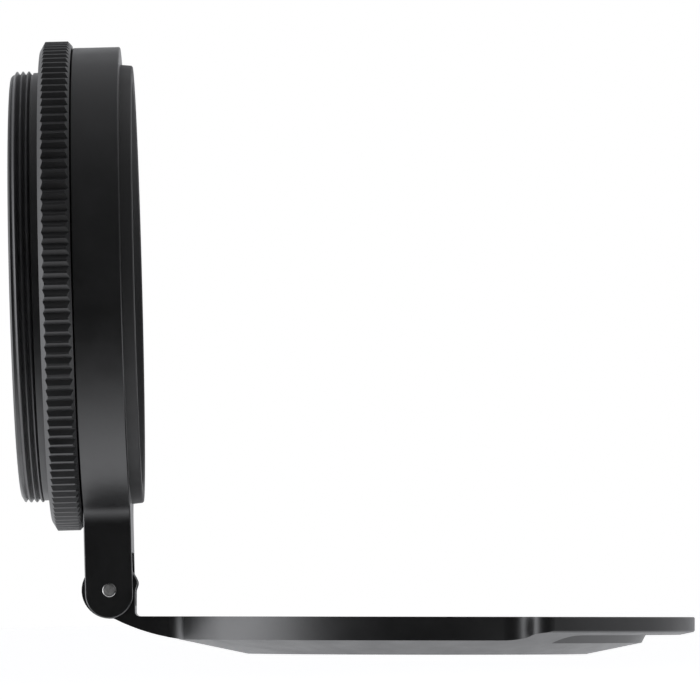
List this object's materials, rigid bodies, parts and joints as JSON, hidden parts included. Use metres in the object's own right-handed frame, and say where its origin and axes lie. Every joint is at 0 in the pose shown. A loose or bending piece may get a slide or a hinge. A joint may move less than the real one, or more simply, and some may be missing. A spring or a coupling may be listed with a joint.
{
  "type": "flip-up lens cover",
  "caption": "Flip-up metal lens cover for a telescopic sight: knurled threaded ring, swivelling hinge ring and a sprung round lid with a thumb brim.",
  "frame": {"origin": "middle of the rear shoulder of the knurled ring, on the optical axis, where the cover seats on the telescope", "axes": "+X along the optical axis from the thread towards the front, +Z from the hinge pin towards the optical axis, lid open along +X"},
  "size_m": [0.0918, 0.0684, 0.086],
  "materials": {
    "black_anodised": "bead-blasted satin black anodising",
    "ground_steel": "ground steel with a fine matt end",
    "spring_steel": "drawn spring wire",
    "black_rubber": "matt moulded rubber"
  },
  "bodies": {
    "mounting_ring": {"mounting_ring": "black_anodised"},
    "hinge_ring": {"hinge_ring": "black_anodised", "retaining_wire": "spring_steel", "drag_ring": "black_rubber", "hinge_pin": "ground_steel", "torsion_spring": "spring_steel"},
    "lid": {"lid": "black_anodised", "lid_seal": "black_rubber"}
  },
  "joints": [
    {"name": "swivel", "type": "hinge", "parent": "mounting_ring", "child": "hinge_ring", "pos_m": [0.0077, 0, 0], "axis": [1, 0, 0], "continuous": true},
    {"name": "lid_hinge", "type": "hinge", "parent": "hinge_ring", "child": "lid", "pos_m": [0.00774, 0, -0.04196], "axis": [0, -1, 0], "range_deg": [0, 91.6], "stiffness_Nm_per_rad": 0.01, "springref_deg": -91.67, "deforming": ["torsion_spring"]}
  ]
}
